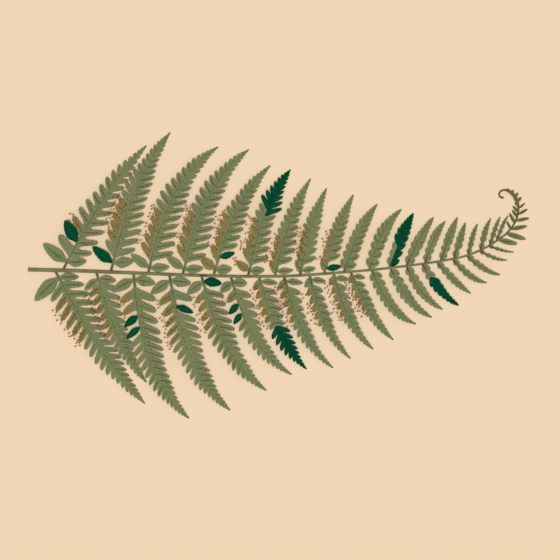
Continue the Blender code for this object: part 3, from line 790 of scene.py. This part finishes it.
def add_pinnules(bm, pinna, first, end):
    """Lay the pinnules of both sides from the first to before the end, by side."""
    bare = bare_pinnules(pinna)
    for edge in ("cut", "tip"):
        for number in range(first[edge], end[edge]):
            is_bare = (edge, number) in bare
            neighbours = [is_bare or (edge, number + step) in bare for step in (-1, 1)]
            pinnule = Pinnule(pinna, edge, number, neighbours)
            rows = pinnule.joined_rows()
            if not pinnule.free and not is_bare:
                rows += pinnule.free_rows()[1:]
            lay_grid(bm, rows, pinnule, ripeness(pinnule), veined(pinnule))
            if pinnule.free and not is_bare:
                lay_grid(bm, pinnule.free_rows(), pinnule, ripeness(pinnule), veined(pinnule))
    if max(end.values()) == pinna.pairs:
        lay_grid(bm, lobe_rows(pinna), Leaflet(LOBE_HALF_WIDTH, LOBE_LENGTH, dryness(pinna.root)))


LEAF_OLIVE = "#7D8158"
LEAF_GREEN = "#767F56"
LEAF_BROWN = "#7B7448"
LEAF_DRY = "#65562F"
VEIN_DARK = "#474D29"
RIPE_BROWN = "#8B7539"

# Real sizes in mm of greener patches, flecks, the spacing of the side veins, and the blade's grain,
# which is drawn coarse enough to show
MOTTLE_MM = 16.0
FLECK_MM = 1.6
SIDE_VEIN_MM = 1.7
VEIN_SLANT = 0.9
MESOPHYLL_MM = 0.5
GRAIN_RELIEF_MM = 0.15
RIPE_STRETCH = (0.35, 1.5, 1)

# Map Range settings: sockets 1 and 2 take the values that a ramp runs between, which are noise, mm or
# shares of a length, and 3 and 4 its results, which are 0 and 1 where they aren't given
GREENER = {1: 0.42, 2: 0.6}
BROWN_MARGIN = {1: 0.72, 2: 1.0, 4: 0.3}
DRY_MARGIN = {1: 0.3, 2: 1.0, 3: 0.35, 4: 1.0}
RIPE_PATCHES = {1: 0.42, 2: 0.56, 3: 0.2}
SIDE_VEINS = {1: 0.22, 2: 0.05, 4: 0.3}
MIDVEIN = {1: 0.6, 2: 0.34}
MIDVEIN_END = {1: 0.88, 2: 0.74}
MIDVEIN_FOOT = {1: 0.06, 2: 0.2, 3: 0.2, 4: 1.0}
FLECKS = {1: 0.66, 2: 0.72}


def blade_material(name, colours, vein_strength, specular):
    """Dried fern blade: thin, matte and papery, greener or browner in places, with a dark midvein."""
    fill, second, margin, vein = [linear(colour) for colour in colours]
    material, tree, shader = new_material(name, 0.8, specular)
    place = add_node(tree, "ShaderNodeTexCoord", output="Object")
    mottle = add_node(tree, "ShaderNodeTexNoise", {"Vector": place, "Scale": 1 / (MOTTLE_MM * MM)})
    fleck = add_node(tree, "ShaderNodeTexNoise", {"Vector": place, "Scale": 1 / (FLECK_MM * MM),
                                                  "Detail": 1.0})
    grain = add_node(tree, "ShaderNodeTexNoise", {"Vector": place, "Scale": 1 / (MESOPHYLL_MM * MM)})
    uv = add_node(tree, "ShaderNodeUVMap", uv_map="blade")
    along = add_node(tree, "ShaderNodeSeparateXYZ", {0: uv})
    across = along.node.outputs[1]
    out = add_node(tree, "ShaderNodeMath", {0: along, 1: UV_SPAN}, operation="MULTIPLY")
    centred = add_node(tree, "ShaderNodeMath", {0: across, 1: 0.5}, operation="SUBTRACT")
    signed = add_node(tree, "ShaderNodeMath", {0: centred, 1: UV_SPAN}, operation="MULTIPLY")
    aside = add_node(tree, "ShaderNodeMath", {0: signed}, operation="ABSOLUTE")

    greener = add_node(tree, "ShaderNodeMapRange", {0: mottle, **GREENER})
    at_margin = add_node(tree, "ShaderNodeAttribute", output="Fac", attribute_name="margin")
    browned = add_node(tree, "ShaderNodeMapRange", {0: at_margin, **BROWN_MARGIN})
    dry = add_node(tree, "ShaderNodeAttribute", output="Fac", attribute_name="dry")
    edge_share = add_node(tree, "ShaderNodeMapRange", {0: at_margin, **DRY_MARGIN})
    dry = add_node(tree, "ShaderNodeMath", {0: dry, 1: edge_share}, operation="MULTIPLY")
    ripe = add_node(tree, "ShaderNodeAttribute", output="Fac", attribute_name="ripe")
    streaks = add_node(tree, "ShaderNodeCombineXYZ", {0: out, 1: signed})
    streaks = add_node(tree, "ShaderNodeMapping", {"Vector": streaks, "Scale": RIPE_STRETCH})
    ripe_noise = add_node(tree, "ShaderNodeTexNoise", {"Vector": streaks, "Scale": 1.0, "Detail": 1.0})
    ripe_patch = add_node(tree, "ShaderNodeMapRange", {0: ripe_noise, **RIPE_PATCHES})
    ripe = add_node(tree, "ShaderNodeMath", {0: ripe, 1: ripe_patch}, operation="MULTIPLY")

    slanted = add_node(tree, "ShaderNodeMath", {0: aside, 1: VEIN_SLANT}, operation="MULTIPLY")
    front = add_node(tree, "ShaderNodeMath", {0: out, 1: slanted}, operation="SUBTRACT")
    phase = add_node(tree, "ShaderNodeMath", {0: front, 1: SIDE_VEIN_MM}, operation="PINGPONG")
    side_vein = add_node(tree, "ShaderNodeMapRange", {0: phase, **SIDE_VEINS})
    midvein = add_node(tree, "ShaderNodeMapRange", {0: aside, **MIDVEIN})
    reach = add_node(tree, "ShaderNodeAttribute", output="Fac", attribute_name="reach")
    ended = add_node(tree, "ShaderNodeMapRange", {0: reach, **MIDVEIN_END})
    begun = add_node(tree, "ShaderNodeMapRange", {0: reach, **MIDVEIN_FOOT})
    shown = add_node(tree, "ShaderNodeAttribute", output="Fac", attribute_name="veined")
    for share in (ended, begun, shown):
        midvein = add_node(tree, "ShaderNodeMath", {0: midvein, 1: share}, operation="MULTIPLY")
    flecked = add_node(tree, "ShaderNodeMapRange", {0: fleck, **FLECKS})
    veins = add_node(tree, "ShaderNodeMath", {0: midvein, 1: side_vein}, operation="MAXIMUM")
    veins = add_node(tree, "ShaderNodeMath", {0: veins, 1: flecked}, operation="MAXIMUM")
    veins = add_node(tree, "ShaderNodeMath", {0: veins, 1: vein_strength}, operation="MULTIPLY")

    tone = fill
    for share, colour in ((greener, second), (browned, margin), (dry, linear(LEAF_DRY)),
                          (ripe, linear(RIPE_BROWN)), (veins, vein)):
        tone = add_node(tree, "ShaderNodeMix", {0: share, 6: tone, 7: colour}, 2, data_type="RGBA")
    tree.links.new(tone, shader.inputs["Base Color"])
    sunk = add_node(tree, "ShaderNodeMath", {0: grain, 1: side_vein}, operation="SUBTRACT")
    bump = add_node(tree, "ShaderNodeBump", {"Height": sunk, "Strength": 0.3,
                                             "Distance": GRAIN_RELIEF_MM * MM})
    tree.links.new(bump, shader.inputs["Normal"])
    return material


PINNAE = {}
for side_name, table in (("left", LEFT_PINNAE), ("right", RIGHT_PINNAE)):
    for count, (root, x, y, bend, rise) in enumerate(table, 1):
        PINNAE[side_name, count] = Pinna(side_name, count, root, (x, y), bend, rise)

DRIED_OLIVE = blade_material("dried_fern_blade_olive", (LEAF_OLIVE, LEAF_GREEN, LEAF_BROWN, VEIN_DARK),
                             vein_strength=0.9, specular=0.12)
for side_name in ("left", "right"):
    bm = new_blade()
    for (its_side, count), pinna in PINNAE.items():
        if its_side != side_name:
            continue
        blade = new_blade()
        add_pinnules(blade, pinna, {"cut": 0, "tip": 0}, pinna.dark_from)
        add_blade(bm, blade)
    finish_piece(f"{side_name}_pinnae", bm, DRIED_OLIVE, ["frond"])


# Dark green parts: pinnules and outer pinnae of the same blade that dried deep green and matte, with
# a faint pale midvein. Each grows out of the rib of its pinna, where its olive neighbours do too.
DARK_GREEN = "#00472B"
DARK_GREEN_DEEP = "#004027"
DARK_VEIN = "#245E49"
DARK_COLOURS = (DARK_GREEN, DARK_GREEN_DEEP, DARK_GREEN, DARK_VEIN)
DRIED_DARK = blade_material("dried_fern_blade_dark_green", DARK_COLOURS, vein_strength=0.35,
                            specular=0.02)
for name, side_name, count, edge, at, *size in DARK_PINNULES:
    pinnule = Pinnule(PINNAE[side_name, count], edge, at - 1, (True, True), size)
    bm = new_blade()
    lay_grid(bm, pinnule.free_rows(), pinnule)
    thicken(bm)
    finish_piece(name + "_blade", bm, DRIED_DARK, [name])
for name, side_name, count, *_ in DARK_TIPS:
    pinna = PINNAE[side_name, count]
    bm = new_blade()
    add_pinnules(bm, pinna, pinna.dark_from, {"cut": pinna.pairs, "tip": pinna.pairs})
    thicken(bm)
    finish_piece(name + "_blade", bm, DRIED_DARK, [name])


# Costae: the fine rib along the middle of each pinna, raised above the blade and browner than it. At
# its root it is the pinna's stalk, nearly as wide as the rachis is there, and it fades to a hair.
COSTA_HALF_WIDTH = 0.27
COSTA_TIP_HALF_WIDTH = 0.15
STALK_FADE = 4.5
COSTA_SIDES = 8
COSTA_STATION = 2.5
COSTA_END = 0.96
COSTA_RISE = 0.7
TALLEST_COSTA = 0.45
COSTA_OLIVE = "#696C44"
COSTA_DARK = "#4C4D2A"
COSTA_DRY = "#4B4323"
COSTA_STROKE_MM = 9.0
DARK_STROKES = {1: 0.44, 2: 0.54}
COSTA_DRY_STRETCH = (240, 310)


def costa_stations(pinna, start, end):
    for distance in np.append(np.arange(start, end, COSTA_STATION), end):
        share = distance / pinna.length
        slim = min(pinna.length / LONG_PINNA, 1)
        wide = between((COSTA_HALF_WIDTH, COSTA_TIP_HALF_WIDTH), share)
        wide += slim * (STALK_HALF_WIDTH - COSTA_HALF_WIDTH) * math.exp(-(distance / STALK_FADE) ** 2)
        place = pinna.costa_spot(distance) + np.array((0, 0, BLADE_THICKNESS * COSTA_RISE))
        yield place, pinna.heading(distance), wide, min(wide, TALLEST_COSTA)


def costa_material():
    """Dried rib fibre: the blade's own olive, with darker brown strokes where it has dried most."""
    material, tree, shader = new_material("dried_costa_fibre", 0.75, 0.2)
    place = add_node(tree, "ShaderNodeTexCoord", output="Object")
    stroke = add_node(tree, "ShaderNodeTexNoise", {"Vector": place, "Scale": 1 / (COSTA_STROKE_MM * MM)})
    darker = add_node(tree, "ShaderNodeMapRange", {0: stroke, **DARK_STROKES})
    dry = add_node(tree, "ShaderNodeAttribute", output="Fac", attribute_name="dry")
    tone = linear(COSTA_OLIVE)
    for share, colour in ((darker, COSTA_DARK), (dry, COSTA_DRY)):
        tone = add_node(tree, "ShaderNodeMix", {0: share, 6: tone, 7: linear(colour)}, 2, data_type="RGBA")
    tree.links.new(tone, shader.inputs["Base Color"])
    return material


def dark_start(pinna):
    """Give where along the costa the dark outer part begins, or the costa's end if it has none."""
    first = max(pinna.dark_from.values())
    return min(pinna.bounds[first], COSTA_END * pinna.length)


bm = bmesh.new()
dry_layer = bm.verts.layers.float.new("dry")
for pinna in PINNAE.values():
    drawn = len(bm.verts)
    draw_rod(bm, COSTA_SIDES, 0, costa_stations(pinna, 0, dark_start(pinna)))
    for vert in list(bm.verts)[drawn:]:
        vert[dry_layer] = ramp(pinna.root, *COSTA_DRY_STRETCH)
close_ends(bm)
finish_piece("costae", bm, costa_material(), ["frond"])
for name, side_name, count, *_ in DARK_TIPS:
    pinna = PINNAE[side_name, count]
    bm = new_blade()
    draw_rod(bm, COSTA_SIDES, 0, costa_stations(pinna, dark_start(pinna), COSTA_END * pinna.length))
    close_ends(bm)
    finish_piece(name + "_costa", bm, DRIED_DARK, [name])


# Curled tip: undivided leaflets, narrower and browner towards the end, then a band of blade
# round the outside of the curl. All dried thin and stiff. Foot x, y, tip x, y and full width in mm,
# and how far from green to brown each one has dried.
TIP_LEAFLETS = (
    (362.3, 34.5, 359.0, 41.2, 2.1, 0.7), (365.0, 39.6, 360.9, 47.4, 2.6, 0.6),
    (367.2, 44.0, 363.0, 49.6, 2.7, 0.7), (367.5, 48.0, 363.4, 52.6, 2.2, 0.8),
    (367.9, 51.8, 364.7, 55.2, 1.8, 0.9), (367.0, 56.2, 364.0, 57.7, 1.6, 0.9),
    (353.0, 27.0, 367.2, 24.0, 4.6, 0.3), (358.5, 32.0, 373.5, 27.5, 4.4, 0.4),
    (362.0, 35.0, 374.6, 37.5, 3.5, 0.45),
    (366.0, 41.4, 376.1, 43.4, 3.0, 0.4), (367.8, 46.2, 374.8, 50.3, 2.3, 0.9),
    (368.0, 50.6, 372.8, 54.8, 1.7, 1.0), (367.2, 55.8, 369.9, 59.2, 2.6, 0.3),
    (365.6, 59.2, 367.4, 62.5, 2.2, 0.5), (362.8, 61.9, 363.9, 64.6, 2.2, 0.3),
    (359.6, 63.6, 360.2, 65.8, 2.0, 0.2),
)
LEAFLET_STEPS = 10
LEAFLET_FOOT = 0.35
LEAFLET_SWELL = 1.1
LEAFLET_LENGTH = 12.0
BAND_STRETCH = (384, 407)
BAND_LENGTH = 23.0
BAND_HALF_WIDTH = 1.5
BAND_HEIGHT = 0.4
BAND_INWARD = 0.4
BAND_TAPER = 0.6
BAND_MARGIN = 0.1
BAND_DRY = 0.1
BAND_STEPS = 16


def leaflet_rows(start, tip, width):
    """Run from a leaflet's foot on the rachis down to its tip, widest below the middle."""
    chord = np.array(tip) - start
    side = np.array((-chord[1], chord[0])) / np.hypot(*chord)
    lift = RACHIS_FLAT * RACHIS_TIP_RADIUS - BLADE_THICKNESS / 2
    rows = []
    for step in range(LEAFLET_STEPS + 1):
        share = step / LEAFLET_STEPS
        swell = math.sin(math.pi * min(share * LEAFLET_SWELL, 0.5))
        half = width / 2 * (LEAFLET_FOOT + (1 - LEAFLET_FOOT) * swell) * (1 - share**3) ** 0.5
        row = []
        for aside in COLUMNS:
            x, y = start + chord * share + side * half * aside
            row.append((np.array((x, y, lift * (1 - share))), share * np.hypot(*chord), aside, share))
        rows.append(row)
    return rows


def band_rows():
    """Run along the curl, widest in its middle, a little to its inner side."""
    rows = []
    for step in range(BAND_STEPS + 1):
        share = step / BAND_STEPS
        distance = between(BAND_STRETCH, share)
        ahead = rachis_ahead(distance)
        inward = np.array((-ahead[1], ahead[0])) / np.hypot(*ahead)
        half = BAND_HALF_WIDTH * math.sin(math.pi * share) ** BAND_TAPER
        row = []
        for aside in COLUMNS:
            x, y = rachis_at(distance) + inward * (BAND_INWARD * half - half * aside)
            row.append((np.array((x, y, BAND_HEIGHT)), BAND_LENGTH * share, aside, BAND_MARGIN))
        rows.append(row)
    return rows


tip_blades = [(leaflet_rows((x, y), (tip_x, tip_y), width), Leaflet(width / 2, LEAFLET_LENGTH, dry))
              for x, y, tip_x, tip_y, width, dry in TIP_LEAFLETS]
tip_blades.append((band_rows(), Leaflet(BAND_HALF_WIDTH, BAND_LENGTH, BAND_DRY)))
bm = new_blade()
for rows, leaflet in tip_blades:
    blade = new_blade()
    lay_grid(blade, rows, leaflet)
    add_blade(bm, blade)
finish_piece("tip_leaflets", bm, DRIED_OLIVE, ["frond"])


# Spore cases: small dry beads, ripe and brown or still ochre, strewn over the pinnules that face the
# cut end, and some beyond their margin on hair-thin stalks. Real ones are about half as wide: they
# are drawn as coarse as they need to be to show. Sizes are in mm, and shares along or across a pinnule.
random.seed(11)
BEAD_RADIUS = 0.7
BEADS_ON_PINNULE = 5
BEAD_ASIDE = (0.55, 1.0)
BEAD_ALONG = (0.1, 0.9)
BEAD_LIFT = 0.6
BEADS_OUTSIDE = 9
STALK_FOOT_ALONG = (0.75, 0.97)
STALK_SPREAD = 60
STALK_REACH = (0.6, 5.0)
STALK_RISE = 0.1
STALK_INSET = 0.5
STALK_RADIUS = 0.06
STALK_SIDES = 3
BEAD_SPACING = 1.8
BEAD_BROWN = "#8A481C"
BEAD_OCHRE = "#C07C2A"
OCHRE_PATCH_MM = 3.5
OCHRE_PATCHES = {1: 0.52, 2: 0.6}


def bead_material():
    """Ripe fern spore case: a dry, slightly glossy brown shell, some still ochre."""
    material, tree, shader = new_material("ripe_spore_case", 0.55)
    place = add_node(tree, "ShaderNodeTexCoord", output="Object")
    noise = add_node(tree, "ShaderNodeTexNoise", {"Vector": place, "Scale": 1 / (OCHRE_PATCH_MM * MM)})
    some = add_node(tree, "ShaderNodeMapRange", {0: noise, **OCHRE_PATCHES})
    colours = {6: linear(BEAD_BROWN), 7: linear(BEAD_OCHRE)}
    tone = add_node(tree, "ShaderNodeMix", {0: some, **colours}, 2, data_type="RGBA")
    tree.links.new(tone, shader.inputs["Base Color"])
    return material


def add_bead(bm, spot):
    place = Matrix.Translation(in_frame(*spot))
    bmesh.ops.create_icosphere(bm, subdivisions=1, radius=BEAD_RADIUS * MM, matrix=place)


bead_spots = []


def has_room(spot):
    """Keep beads apart, and remember where this one goes."""
    if any(math.hypot(spot[0] - x, spot[1] - y) < BEAD_SPACING for x, y in bead_spots):
        return False
    bead_spots.append((spot[0], spot[1]))
    return True


bm = bmesh.new()
for pinna in PINNAE.values():
    for number in range(pinna.pairs):
        pinnule = Pinnule(pinna, "cut", number)
        if ripeness(pinnule) == 0 or ("cut", number) in bare_pinnules(pinna):
            continue
        for _ in range(BEADS_ON_PINNULE):
            aside = random.choice((-1, 1)) * random.uniform(*BEAD_ASIDE)
            spot = pinnule.free_spot(aside, random.uniform(*BEAD_ALONG))
            if has_room(spot):
                add_bead(bm, spot + np.array((0, 0, BLADE_THICKNESS + BEAD_LIFT * BEAD_RADIUS)))
        for _ in range(BEADS_OUTSIDE):
            rim = pinnule.free_spot(random.uniform(-1, 1), random.uniform(*STALK_FOOT_ALONG))
            heading = pinnule.heading + random.uniform(-STALK_SPREAD, STALK_SPREAD)
            away = heading_step((0, 0), heading, 1)
            end = rim + np.array((*(away * random.uniform(*STALK_REACH)), STALK_RISE))
            end[2] = max(end[2], BEAD_RADIUS)
            if not has_room(end):
                continue
            add_bead(bm, end)
            foot = rim - np.array((*(away * STALK_INSET), -BLADE_THICKNESS / 2))
            draw_rod(bm, STALK_SIDES, 0, [(place, heading, STALK_RADIUS, STALK_RADIUS)
                                          for place in (foot, end)])
close_ends(bm)
finish_piece("spore_cases", bm, bead_material(), ["frond"])


# Plain pale floor, soft light from the sky and from one large lamp high at the side, and a camera that
# looks straight down. None of it belongs to the frond.
FLOOR = "#F1D7B5"
FLOOR_HALF_SIZE = 3
SKY_STRENGTH = 0.35
SUN_STRENGTH = 2.08
SUN_SPREAD = 24
SUN_TILT = (8, -8, 0)
VIEW_WIDTH = 420.0
VIEW_CENTRE = (1.0, -3.5)
CAMERA_HEIGHT = 3.0
floor_mesh = bpy.data.meshes.new("floor")
bm = bmesh.new()
bmesh.ops.create_grid(bm, x_segments=1, y_segments=1, size=FLOOR_HALF_SIZE)
bm.to_mesh(floor_mesh)
bm.free()
floor = bpy.data.objects.new("floor", floor_mesh)
floor_paint, _, floor_shader = new_material("matte_floor", 1.0, 0.0)
floor_shader.inputs["Base Color"].default_value = linear(FLOOR)
floor_mesh.materials.append(floor_paint)
bpy.context.scene.collection.objects.link(floor)

world = bpy.data.worlds.new("studio")
bpy.context.scene.world = world
world.use_nodes = True
world.node_tree.nodes["Background"].inputs["Color"].default_value = (1, 1, 1, 1)
world.node_tree.nodes["Background"].inputs["Strength"].default_value = SKY_STRENGTH

sun = bpy.data.lights.new("softbox", "SUN")
sun.energy = SUN_STRENGTH
sun.angle = math.radians(SUN_SPREAD)
sun_object = bpy.data.objects.new("softbox", sun)
sun_object.rotation_euler = [math.radians(angle) for angle in SUN_TILT]
bpy.context.scene.collection.objects.link(sun_object)

lens = bpy.data.cameras.new("camera")
lens.lens = lens.sensor_width * CAMERA_HEIGHT / (VIEW_WIDTH * MM)
camera = bpy.data.objects.new("camera", lens)
camera.location = (VIEW_CENTRE[0] * MM, VIEW_CENTRE[1] * MM, CAMERA_HEIGHT)
bpy.context.scene.collection.objects.link(camera)
bpy.context.scene.camera = camera
bpy.context.scene.view_settings.view_transform = "Standard"
